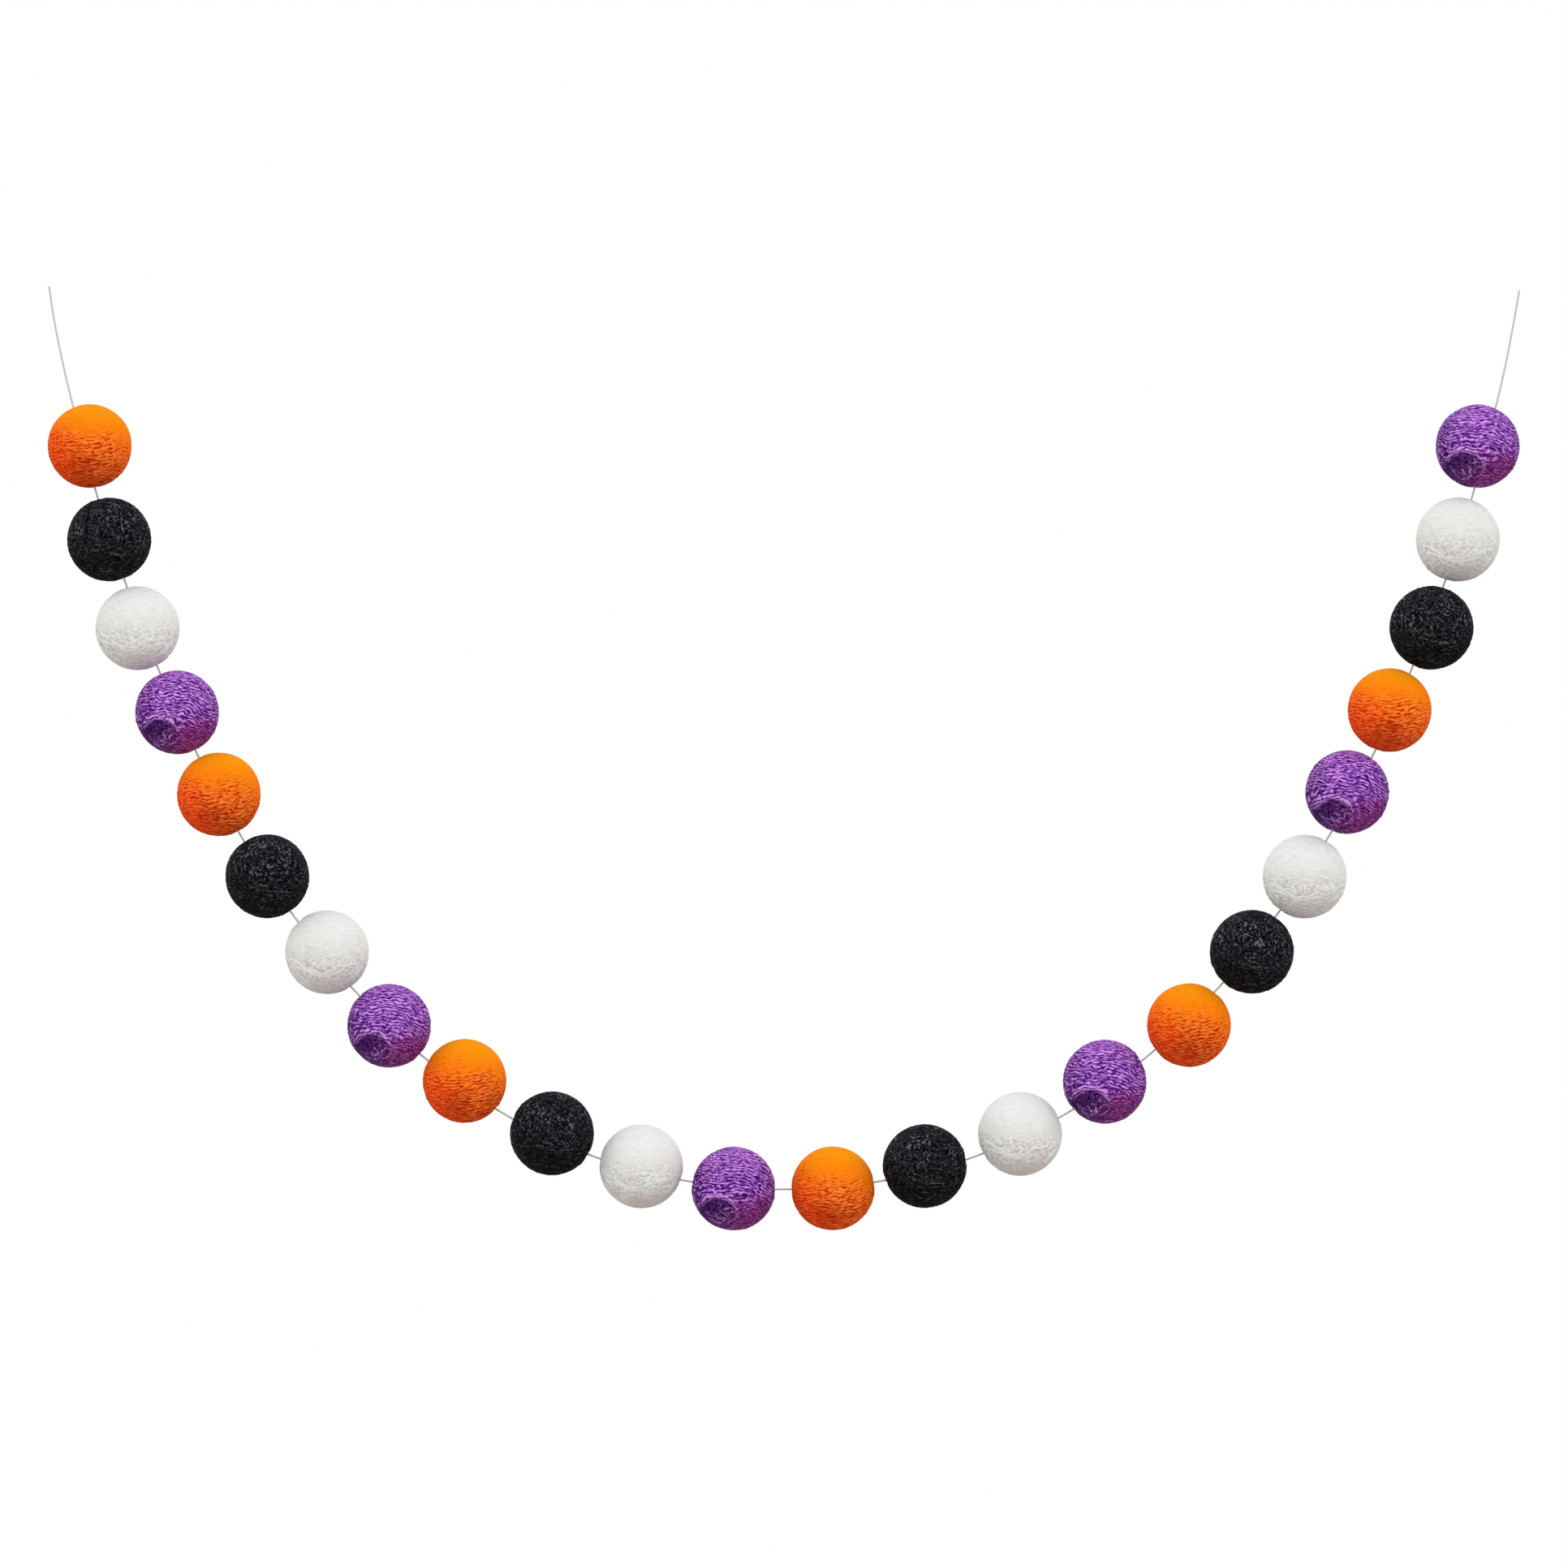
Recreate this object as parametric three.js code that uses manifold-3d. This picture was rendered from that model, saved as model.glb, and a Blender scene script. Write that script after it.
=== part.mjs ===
// Felt ball garland: wool felt balls threaded on one fine string, which hangs in a deep U from its two ends.
// Millimetres, +Z up. X runs across the garland and Y towards its back, and the whole garland hangs in the
// plane Y = 0. The origin is the left end of the string.
import * as THREE from 'three';
import { mergeVertices } from 'three/addons/utils/BufferGeometryUtils.js';
import Module from 'manifold-3d';

// Driving dimensions
const BALL_DIAMETER = 25;
const BALL_DETAIL = 4;
const STRING_DIAMETER = 0.6;
const NEEDLE_HOLE_DIAMETER = 1.3;
const STRING_SIDES = 8;
const STRING_STEPS = 78;
const ROUTE_DIVISIONS = 1200;

// The four felts, in the order in which they repeat along the string
const FELTS = [
  { name: 'orange', colour: 0xf07a14, roughness: 0.9 },
  { name: 'black', colour: 0x1f1e22, roughness: 0.85 },
  { name: 'white', colour: 0xe4e3df, roughness: 0.95 },
  { name: 'purple', colour: 0x8a4fa8, roughness: 0.85 },
];
const STRING_FINISH = { colour: 0xdcdbd6, roughness: 0.8 };

// Centre of each ball, from the left end of the string to the right one
const BALL_CENTRES = [
  { x: 12.2, z: -47.7 },
  { x: 18.0, z: -75.7 },
  { x: 26.5, z: -102.2 },
  { x: 38.3, z: -127.4 },
  { x: 50.8, z: -151.9 },
  { x: 65.3, z: -176.4 },
  { x: 83.2, z: -199.1 },
  { x: 101.7, z: -221.1 },
  { x: 124.3, z: -237.6 },
  { x: 150.4, z: -253.3 },
  { x: 177.1, z: -263.1 },
  { x: 204.7, z: -269.8 },
  { x: 234.4, z: -269.7 },
  { x: 261.9, z: -263.1 },
  { x: 290.4, z: -253.4 },
  { x: 315.7, z: -237.8 },
  { x: 340.9, z: -220.9 },
  { x: 359.7, z: -199.0 },
  { x: 375.5, z: -176.5 },
  { x: 388.2, z: -151.2 },
  { x: 400.9, z: -126.7 },
  { x: 413.4, z: -102.1 },
  { x: 421.3, z: -75.7 },
  { x: 427.2, z: -47.8 },
];

// Route of the string as [x, z]: down the left tail, through the middle of each gap between two balls,
// and up the right tail
const STRING_ROUTE = [
  [0, 0],
  [1.5, -9.7],
  [3.8, -21.4],
  [6.5, -33.0],
  [14.2, -61.9],
  [22.9, -88.7],
  [32.8, -114.6],
  [44.3, -139.8],
  [57.5, -164.5],
  [73.3, -188.4],
  [91.6, -210.8],
  [112.1, -230.5],
  [136.2, -247.5],
  [163.0, -260.2],
  [190.7, -267.5],
  [219.5, -270.0],
  [248.4, -267.6],
  [276.9, -260.2],
  [304.1, -247.4],
  [328.7, -230.0],
  [349.8, -209.6],
  [367.4, -187.6],
  [382.8, -164.3],
  [396.1, -139.8],
  [407.4, -114.6],
  [417.2, -88.9],
  [425.8, -62.1],
  [433.4, -33.0],
  [436.0, -21.4],
  [438.2, -9.7],
  [439.7, -1.1],
];

const wasm = await Module();
wasm.setup();

function solidOf(geometry) {
  const bare = geometry.clone();
  bare.deleteAttribute('normal');
  bare.deleteAttribute('uv');
  const merged = mergeVertices(bare);
  const mesh = new wasm.Mesh({
    numProp: 3,
    vertProperties: merged.attributes.position.array,
    triVerts: new Uint32Array(merged.index.array),
  });
  return new wasm.Manifold(mesh);
}

function geometryOf(solid) {
  const { vertProperties, triVerts } = solid.getMesh();
  const geometry = new THREE.BufferGeometry();
  geometry.setAttribute('position', new THREE.BufferAttribute(vertProperties, 3));
  geometry.setIndex(new THREE.BufferAttribute(triVerts, 1));
  geometry.computeVertexNormals();
  return geometry;
}

function stringRoute() {
  const points = STRING_ROUTE.map(([x, z]) => new THREE.Vector3(x, 0, z));
  const route = new THREE.CatmullRomCurve3(points, false, 'centripetal');
  route.arcLengthDivisions = ROUTE_DIVISIONS;
  return route;
}

// A round rod that follows the string's route
function rodAlong(route, diameter) {
  const section = new THREE.Shape();
  for (let side = 0; side < STRING_SIDES; side += 1) {
    const turn = (side / STRING_SIDES) * 2 * Math.PI;
    const x = (diameter / 2) * Math.cos(turn);
    const y = (diameter / 2) * Math.sin(turn);
    if (side === 0) section.moveTo(x, y);
    else section.lineTo(x, y);
  }
  section.closePath();
  return new THREE.ExtrudeGeometry(section, { steps: STRING_STEPS, extrudePath: route });
}

// A ball about its own centre, with the needle's track through it where the string runs
function threadedBall(centre, needleTrack) {
  const round = new THREE.IcosahedronGeometry(BALL_DIAMETER / 2, BALL_DETAIL);
  round.translate(centre.x, 0, centre.z);
  const threaded = geometryOf(solidOf(round).subtract(needleTrack));
  return threaded.translate(-centre.x, 0, -centre.z);
}

function finishOf({ colour, roughness }) {
  return new THREE.MeshStandardMaterial({ color: colour, roughness, metalness: 0 });
}

const garland = new THREE.Group();
const route = stringRoute();

const string = new THREE.Mesh(rodAlong(route, STRING_DIAMETER), finishOf(STRING_FINISH));
string.name = 'string';
garland.add(string);

const needleTrack = solidOf(rodAlong(route, NEEDLE_HOLE_DIAMETER));
BALL_CENTRES.forEach((centre, place) => {
  const felt = FELTS[place % FELTS.length];
  const ball = new THREE.Mesh(threadedBall(centre, needleTrack), finishOf(felt));
  ball.name = `ball_${String(place + 1).padStart(2, '0')}_${felt.name}`;
  ball.position.set(centre.x, 0, centre.z);
  garland.add(ball);
});

export default garland;
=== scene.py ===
"""A felt ball garland: wool felt balls in orange, black, white and purple on one fine twisted string, which
hangs in a deep U from its two plain ends. Metres, +Z up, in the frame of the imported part."""

import itertools
import math
from dataclasses import dataclass

import bmesh
import bpy
import numpy as np
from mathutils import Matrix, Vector


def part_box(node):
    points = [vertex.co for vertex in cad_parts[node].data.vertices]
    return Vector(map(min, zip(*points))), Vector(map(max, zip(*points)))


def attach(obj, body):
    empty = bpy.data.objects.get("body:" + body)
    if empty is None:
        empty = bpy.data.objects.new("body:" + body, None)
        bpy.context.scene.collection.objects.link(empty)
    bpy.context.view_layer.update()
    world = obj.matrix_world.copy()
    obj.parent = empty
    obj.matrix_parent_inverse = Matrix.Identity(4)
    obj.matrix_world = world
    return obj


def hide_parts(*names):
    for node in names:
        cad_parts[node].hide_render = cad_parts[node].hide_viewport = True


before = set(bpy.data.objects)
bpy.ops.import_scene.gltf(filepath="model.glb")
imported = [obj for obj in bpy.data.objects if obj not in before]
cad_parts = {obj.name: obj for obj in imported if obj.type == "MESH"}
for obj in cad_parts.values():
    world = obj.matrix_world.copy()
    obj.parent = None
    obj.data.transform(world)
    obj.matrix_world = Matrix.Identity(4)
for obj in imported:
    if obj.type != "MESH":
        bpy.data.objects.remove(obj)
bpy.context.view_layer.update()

MM = 0.001

# The string, as in the part's source: [across, up] in millimetres from its left end
STRING_ROUTE_MM = [
    (0, 0),
    (1.5, -9.7),
    (3.8, -21.4),
    (6.5, -33.0),
    (14.2, -61.9),
    (22.9, -88.7),
    (32.8, -114.6),
    (44.3, -139.8),
    (57.5, -164.5),
    (73.3, -188.4),
    (91.6, -210.8),
    (112.1, -230.5),
    (136.2, -247.5),
    (163.0, -260.2),
    (190.7, -267.5),
    (219.5, -270.0),
    (248.4, -267.6),
    (276.9, -260.2),
    (304.1, -247.4),
    (328.7, -230.0),
    (349.8, -209.6),
    (367.4, -187.6),
    (382.8, -164.3),
    (396.1, -139.8),
    (407.4, -114.6),
    (417.2, -88.9),
    (425.8, -62.1),
    (433.4, -33.0),
    (436.0, -21.4),
    (438.2, -9.7),
    (439.7, -1.1),
]
STRING_DIAMETER = 0.6 * MM
STRING_PLIES = 3
STRING_SIDES = 12
STRING_RING_STEP = 0.3 * MM
HIDDEN_RING_EVERY = 6
STRING_TWIST_PITCH = 3.6 * MM
PLY_GROOVE = 0.14
STRING_SPAN_POINTS = 40

# The balls
BALL_RADIUS = 12.5 * MM
BALL_RINGS = 150
BALL_SPOKES = 120
BALL_SPLITS = 42
SEEDS_PER_BALL = 10
DIMPLE_DEPTH = 0.9 * MM
DIMPLE_RADIUS = 1.0 * MM
LUMP_DEPTH = 0.10 * MM
LUMPS_PER_RADIUS = 1.6

# The photograph's frame: its middle in the row frame, and its width at the garland
FRAME_CENTRE = Vector((219.8 * MM, 0, -148.8 * MM))
FRAME_WIDTH = 468.9 * MM
LENS_MM = 200
SENSOR_MM = 36

# Light and floor. The sky's glow fades from that of the horizon to that of the zenith between two heights,
# where straight up is 1.
HORIZON_GLOW = 1.26
ZENITH_GLOW = 0.5
FADE_START = 0.4
FADE_END = 0.9
KEY_ENERGY = 0.68
KEY_SPREAD = math.radians(30)
KEY_ELEVATION = math.radians(50)
KEY_SIDE = math.radians(8)
FLOOR_DROP = 3.0
FLOOR_RADIUS = 26
FLOOR_SIDES = 96


def linear(level):
    """A screen level from 0 to 1 as the linear level that a shader takes."""
    return level / 12.92 if level <= 0.04045 else ((level + 0.055) / 1.055) ** 2.4


def srgb(red, green, blue):
    """A screen colour from 0 to 255 as a shader's colour."""
    return (*(linear(channel / 255) for channel in (red, green, blue)), 1.0)


WHITE = (1.0, 1.0, 1.0, 1.0)
BLACK = (0.0, 0.0, 0.0, 1.0)
FLOOR_COLOUR = srgb(190, 189, 187)


# Camera


def make_camera():
    distance = FRAME_WIDTH * LENS_MM / SENSOR_MM
    data = bpy.data.cameras.new("camera")
    data.lens = LENS_MM
    data.sensor_width = SENSOR_MM
    camera = bpy.data.objects.new("camera", data)
    camera.location = FRAME_CENTRE + Vector((0, -distance, 0))
    camera.rotation_euler = (math.radians(90), 0, 0)
    bpy.context.scene.collection.objects.link(camera)
    bpy.context.scene.camera = camera


# Shapes from arrays of points


def through(points, per_span):
    """Points along a smooth curve, a centripetal spline, that passes through the given points."""
    knots_at = np.asarray(points, float)
    run = np.vstack([2 * knots_at[0] - knots_at[1], knots_at, 2 * knots_at[-1] - knots_at[-2]])
    gaps = np.sqrt(np.linalg.norm(np.diff(run, axis=0), axis=1))
    knot = np.concatenate([[0.0], np.cumsum(gaps)])
    pieces = []
    for i in range(1, len(run) - 2):
        t = np.linspace(knot[i], knot[i + 1], per_span, endpoint=False)[:, None]
        k0, k1, k2, k3 = knot[i - 1 : i + 3]
        p0, p1, p2, p3 = run[i - 1 : i + 3]
        a1 = ((k1 - t) * p0 + (t - k0) * p1) / (k1 - k0)
        a2 = ((k2 - t) * p1 + (t - k1) * p2) / (k2 - k1)
        a3 = ((k3 - t) * p2 + (t - k2) * p3) / (k3 - k2)
        b1 = ((k2 - t) * a1 + (t - k0) * a2) / (k2 - k0)
        b2 = ((k3 - t) * a2 + (t - k1) * a3) / (k3 - k1)
        pieces.append(((k2 - t) * b1 + (t - k1) * b2) / (k2 - k1))
    return np.vstack([*pieces, run[-2:-1]])


def evenly(points, count):
    """The same line as that many points, evenly spaced along it."""
    steps = np.linalg.norm(np.diff(points, axis=0), axis=1)
    along = np.concatenate([[0.0], np.cumsum(steps)])
    wanted = np.linspace(0, along[-1], count)
    return np.stack([np.interp(wanted, along, points[:, k]) for k in range(3)], axis=1)


def unit(vectors):
    return vectors / np.linalg.norm(vectors, axis=-1, keepdims=True)


def mesh_piece(name, vertices, faces, material, attributes=()):
    mesh = bpy.data.meshes.new(name)
    mesh.from_pydata(vertices.tolist(), [], faces)
    mesh.polygons.foreach_set("use_smooth", np.ones(len(mesh.polygons), bool))
    for attribute, values in dict(attributes).items():
        kind, field = ("FLOAT_VECTOR", "vector") if values.ndim == 2 else ("FLOAT", "value")
        made = mesh.attributes.new(attribute, kind, "POINT")
        made.data.foreach_set(field, values.astype(np.float32).ravel())
    mesh.materials.append(material)
    mesh.update()
    piece = bpy.data.objects.new(name, mesh)
    bpy.context.scene.collection.objects.link(piece)
    return piece


def tube_faces(rings, sides):
    """Faces of a closed tube whose vertices are a tip, ring after ring, and the other tip."""
    faces = []
    last = 1 + (rings - 1) * sides
    tip = last + sides
    for side in range(sides):
        after = (side + 1) % sides
        faces.append((0, 1 + side, 1 + after))
        faces.append((tip, last + after, last + side))
        for ring in range(rings - 1):
            near = 1 + ring * sides
            far = near + sides
            faces.append((near + side, far + side, far + after, near + after))
    return faces


# Smooth noise: the noise texture's own, so that a material can follow a shape made here

HASH_START = np.uint32(0xDEADBF08)
NOISE_SCALE = 0.982
NOISE_SPREAD = 1.155
SEED_SHIFT = np.array([17.31, 31.73, 11.97])


def turned(bits, by):
    return (bits << np.uint32(by)) | (bits >> np.uint32(32 - by))


def hashed(x, y, z):
    a, b, c = x + HASH_START, y + HASH_START, z + HASH_START
    c = (c ^ b) - turned(b, 14)
    a = (a ^ c) - turned(c, 11)
    b = (b ^ a) - turned(a, 25)
    c = (c ^ b) - turned(b, 16)
    a = (a ^ c) - turned(c, 4)
    b = (b ^ a) - turned(a, 14)
    return (c ^ b) - turned(b, 24)


def texture_noise(points):
    """Smooth noise round 0 at each point: twice what the noise texture gives there, less 1."""
    shape = points.shape[:-1]
    p = points.reshape(-1, 3)
    cell = np.floor(p).astype(int)
    part = p - cell
    ease = part**3 * (part * (part * 6 - 15) + 10)
    total = np.zeros(len(p))
    for corner in itertools.product((0, 1), repeat=3):
        x, y, z = (part - corner).T
        code = hashed(*(cell + corner).astype(np.uint32).T) & np.uint32(15)
        first = np.where(code < 8, x, y)
        second = np.where(code < 4, y, np.where((code == 12) | (code == 14), x, z))
        slope = np.where(code & np.uint32(1), -first, first)
        slope = slope + np.where(code & np.uint32(2), -second, second)
        total += np.prod(np.where(corner, ease, 1 - ease), axis=1) * slope
    return (NOISE_SCALE * total).reshape(shape)


def noise(points, seed):
    """Smooth noise from about -1 to 1 at each point, other for each seed."""
    return NOISE_SPREAD * texture_noise(points + seed * SEED_SHIFT)


def ramp(value, start, end):
    """0 before start, 1 after end, smooth between them. start may be the larger one."""
    t = np.clip((value - start) / (end - start), 0, 1)
    return t * t * (3 - 2 * t)


def lift_of(p):
    """Latitude of a direction, in radians."""
    return np.arcsin(np.clip(p[..., 2], -1, 1))


def in_front(right, down):
    """The direction, from a ball's centre, of a place on its front given in radii right and down."""
    right, down = np.asarray(right, float), np.asarray(down, float)
    return np.stack([right, -np.sqrt(np.clip(1 - right**2 - down**2, 0, 1)), -down], -1)


def towards(right, down, start, end, most=1.0):
    """How far a direction lies towards a place on the front: 0 up to the cosine start, most past the end."""
    aim = in_front(right, down)
    return lambda p: most * ramp(p @ aim, start, end)


def nowhere(p):
    return np.zeros(p.shape[:-1])


FOLD_POINTS = 60
FOLD_SPAN_POINTS = 12
FURTHEST_APART = 2.0


def folds(p, rows, width):
    """1 along listed lines on the front, each a row of places in radii right and down; 0 off them."""
    nearest = np.full(p.shape[:-1], FURTHEST_APART)
    for row in rows:
        bends = through([(right, down, 0) for right, down in row], FOLD_SPAN_POINTS)
        flat = evenly(bends, FOLD_POINTS)
        for q in in_front(flat[:, 0], flat[:, 1]):
            nearest = np.minimum(nearest, np.linalg.norm(p - q, axis=-1))
    return ramp(nearest, width, 0.0)


# The surface of each felt, at directions from the ball's centre: X to the right, Y to the back and Z up

CURL_REACH = 0.35


@dataclass
class Surface:
    phase: np.ndarray  # counts the wavy ridges from the middle of the ball upwards
    ribbed: np.ndarray  # how strongly they show
    grain: np.ndarray  # place in the noise that makes the specks and curls
    specked: np.ndarray  # how strongly specks show, where the noise is high or low
    curled: np.ndarray  # how strongly curly lines show, where the noise is nought
    raised: np.ndarray  # above 0 on folds that stand out, below 0 where the felt lies low
    wrinkled: np.ndarray  # how strongly the finest wrinkles show
    glint: np.ndarray  # how brightly the raised places glint
    rise: np.ndarray  # height of larger forms, in metres


# What a ball's mesh carries of its Surface for the material, beside grain
CARRIED = ("phase", "ribbed", "specked", "curled", "raised", "wrinkled", "glint")

# Ridges of each felt per radius, from the middle of the ball upwards
ORANGE_RIDGES = 12.2
BLACK_RIDGES = 10.0
WHITE_RIDGES = 10.0
PURPLE_RIDGES = 12.5

# Cells per radius of the noises that bend the ridges
WARP_CELLS = 4.0
SLOW_CELLS = 3.2
QUICK_CELLS = 8.0
QUICK_SHARE = 0.6

# Half the width of a listed fold or stroke, in radii
FOLD_REACH = 0.042
STROKE_REACH = 0.036


def relief_of(surface):
    """From -1 in a crevice to 1 on a ridge. relief_nodes works out the same from the same values."""
    specks = texture_noise(surface.grain)
    curls = 1 - 2 * np.clip(np.abs(specks) / CURL_REACH, 0, 1)
    ribs = np.sin(2 * math.pi * surface.phase)
    return np.tanh(
        surface.ribbed * ribs + surface.specked * specks + surface.curled * curls + surface.raised
    )


def grain_of(p, phase, along, across, warp, seed):
    """Where each direction lies in the noise: so many cells per radius along the ridges and per ridge across
    them, shifted by up to warp cells."""
    shift = warp * np.stack([noise(p * WARP_CELLS, seed + k) for k in (1, 2, 3)], -1)
    cells = np.stack([p[..., 0] * along, p[..., 1] * along, phase * across], -1)
    return cells + shift + seed * SEED_SHIFT


def wavy(p, level, per_radius, waver, seed):
    """Phase of wavy ridges along the lines of equal level, so many per radius."""
    slow, quick = noise(p * SLOW_CELLS, seed), noise(p * QUICK_CELLS, seed + 1)
    return per_radius * level + waver * (slow + QUICK_SHARE * quick)


def orange_surface(p, seed):
    """Smooth on top. Below the middle, short dark crevices between bright ridges that climb to the right."""
    x, z = p[..., 0], p[..., 2]
    climb = 0.22 * ramp(x, 0.0, 0.9) * x
    phase = wavy(p, lift_of(p) - climb, per_radius=ORANGE_RIDGES, waver=0.8, seed=seed + 2)
    uneven_height = z + 0.20 * noise(p * 2.4, seed + 1) + 0.12 * x
    wrinkled = 0.07 + 0.93 * ramp(uneven_height, 0.55, -0.15)
    calmer_below = 1 - 0.35 * ramp(z, -0.45, -0.8)
    calmer_right = 1 - 0.5 * ramp(x, 0.45, 0.9)
    strength = wrinkled * calmer_below * calmer_right
    return Surface(
        phase=phase,
        ribbed=1.15 * strength * (0.8 + 0.6 * noise(p * 6.0, seed + 4)),
        grain=grain_of(p, phase, along=8.5, across=1.4, warp=0.5, seed=seed),
        specked=2.4 * strength,
        curled=nowhere(p),
        raised=nowhere(p),
        wrinkled=wrinkled,
        glint=nowhere(p),
        rise=nowhere(p),
    )


BLACK_FOLDS = [
    [(-0.36, 0.24), (-0.16, 0.29), (0.04, 0.35), (0.30, 0.37), (0.52, 0.35)],
    [(-0.26, 0.14), (-0.10, 0.20), (0.08, 0.22)],
    [(-0.15, 0.72), (-0.04, 0.78), (0.06, 0.75)],
    [(-0.76, -0.38), (-0.73, -0.26), (-0.67, -0.14)],
]


def black_surface(p, seed):
    """Short curly strokes in all directions, brightest near the top, drawn out and calmer towards the
    bottom, and a few longer ones laid on the front."""
    z = p[..., 2]
    upper = ramp(z + 0.1 * noise(p * 2.5, seed), -0.65, -0.1)
    phase = wavy(p, lift_of(p), per_radius=BLACK_RIDGES, waver=0.4, seed=seed)
    finer_above = 10.0 + 7.0 * ramp(z, -0.5, 0.0)
    patch = ramp(noise(p * 2.4, seed + 7), -0.4, 0.5)
    fold = folds(p, BLACK_FOLDS, STROKE_REACH)
    return Surface(
        phase=phase,
        ribbed=0.25 * (1 - upper),
        grain=grain_of(p, phase, along=finer_above, across=1.75, warp=1.3, seed=seed),
        specked=1.9 + 0.7 * upper,
        curled=nowhere(p),
        raised=0.9 * fold,
        wrinkled=0.5 + 0.5 * upper,
        glint=(0.10 + 0.5 * patch) * (0.3 + 0.7 * ramp(z, -0.6, 0.6)) + 0.2 * fold,
        rise=nowhere(p),
    )


WHITE_FOLDS = [
    [(-0.54, 0.32), (-0.36, 0.44), (-0.1, 0.49), (0.1, 0.45), (0.26, 0.36)],
    [(-0.50, 0.40), (-0.32, 0.51), (-0.08, 0.56), (0.08, 0.51)],
    [(-0.86, 0.14), (-0.68, 0.24), (-0.48, 0.36)],
    [(-0.80, 0.34), (-0.66, 0.36), (-0.50, 0.44)],
    [(0.06, 0.60), (0.20, 0.50), (0.34, 0.47)],
    [(0.14, 0.62), (0.24, 0.64), (0.32, 0.60)],
    [(0.62, 0.62), (0.74, 0.50), (0.86, 0.34)],
    [(0.54, 0.66), (0.66, 0.56), (0.76, 0.42)],
    [(0.30, 0.28), (0.48, 0.31), (0.62, 0.26)],
]


def white_surface(p, seed):
    """Smooth and pale on top, with faint level lines. Curly low ridges and a few folds below the middle."""
    level = lift_of(p) + 0.10 * noise(p * 2.2, seed)
    phase = wavy(p, level, per_radius=WHITE_RIDGES, waver=0.3, seed=seed)
    low = ramp(p[..., 2] + 0.16 * noise(p * 2.6, seed + 6), 0.22, -0.34)
    warp = 0.4 + 0.9 * low[..., None]
    fold = folds(p, WHITE_FOLDS, FOLD_REACH)
    return Surface(
        phase=phase,
        ribbed=nowhere(p),
        grain=grain_of(p, phase, along=5.0 + 8.0 * low, across=1.55, warp=warp, seed=seed),
        specked=(0.3 + 1.7 * low) * (1 - 0.7 * fold),
        curled=nowhere(p),
        raised=1.3 * fold,
        wrinkled=0.12 + 0.88 * low,
        glint=nowhere(p),
        rise=nowhere(p),
    )


# The dark hollow of the purple felt: its middle and its half sizes, in radii
HOLLOW_RIGHT = -0.39
HOLLOW_UP = -0.60
HOLLOW_HALF_WIDTH = 0.50
HOLLOW_HALF_HEIGHT = 0.47
HOLLOW_DEPTH = 0.3 * MM

# The reaches between which the felt falls away into the hollow, and the reach that the back of the ball gets
HOLLOW_EDGE = (1.02, 0.88)
OUTSIDE = 3.0
PURPLE_FOLDS = [
    [(-0.83, 0.39), (-0.72, 0.25), (-0.55, 0.165), (-0.38, 0.155), (-0.23, 0.21)],
    [(-0.26, 0.19), (-0.08, 0.28), (0.03, 0.37), (0.08, 0.47)],
    [(-0.76, 0.40), (-0.68, 0.30), (-0.54, 0.22)],
    [(-0.70, 0.17), (-0.50, 0.08), (-0.32, 0.10)],
    [(-0.35, 0.09), (-0.15, 0.17), (0.0, 0.26)],
    [(-0.66, 0.60), (-0.52, 0.74), (-0.38, 0.82), (-0.24, 0.76), (-0.20, 0.64)],
    [(-0.70, 0.52), (-0.58, 0.62), (-0.48, 0.66)],
    [(-0.42, 0.60), (-0.36, 0.70), (-0.26, 0.68), (-0.24, 0.58), (-0.32, 0.52)],
    [(-0.14, 0.80), (0.0, 0.74), (0.08, 0.62)],
    [(-0.16, 0.66), (-0.10, 0.56), (0.0, 0.52), (0.06, 0.56)],
    [(-0.20, 0.46), (-0.10, 0.42), (-0.03, 0.44)],
]


def hollow_reach(p):
    """0 at the middle of the dark hollow at the lower left of the front, 1 at its rim, and more outside it,
    with the share of that reach which points up."""
    across = (p[..., 0] - HOLLOW_RIGHT) / HOLLOW_HALF_WIDTH
    up = (p[..., 2] - HOLLOW_UP) / HOLLOW_HALF_HEIGHT
    reach = np.where(p[..., 1] < 0, np.hypot(across, up), OUTSIDE)
    return reach, up / np.maximum(reach, 0.01)


def purple_painted_shade(p):
    """Painted shade: how dark the felt is painted, darkest as painted shadow in the hollow, under its rim,
    and darker low down and at both sides.
    """
    x, z = p[..., 0], p[..., 2]
    hollow = ramp(hollow_reach(p)[0], *HOLLOW_EDGE) * (1 - 0.6 * ramp(z, -0.45, -0.8))
    sides = 0.34 * ramp(x, -0.4, -0.85) + 0.2 * ramp(x, 0.5, 0.9)
    below = 0.15 * ramp(z, 0.05, -0.6)
    return 1 - (1 - 0.6 * hollow) * (1 - sides) * (1 - below)


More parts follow.
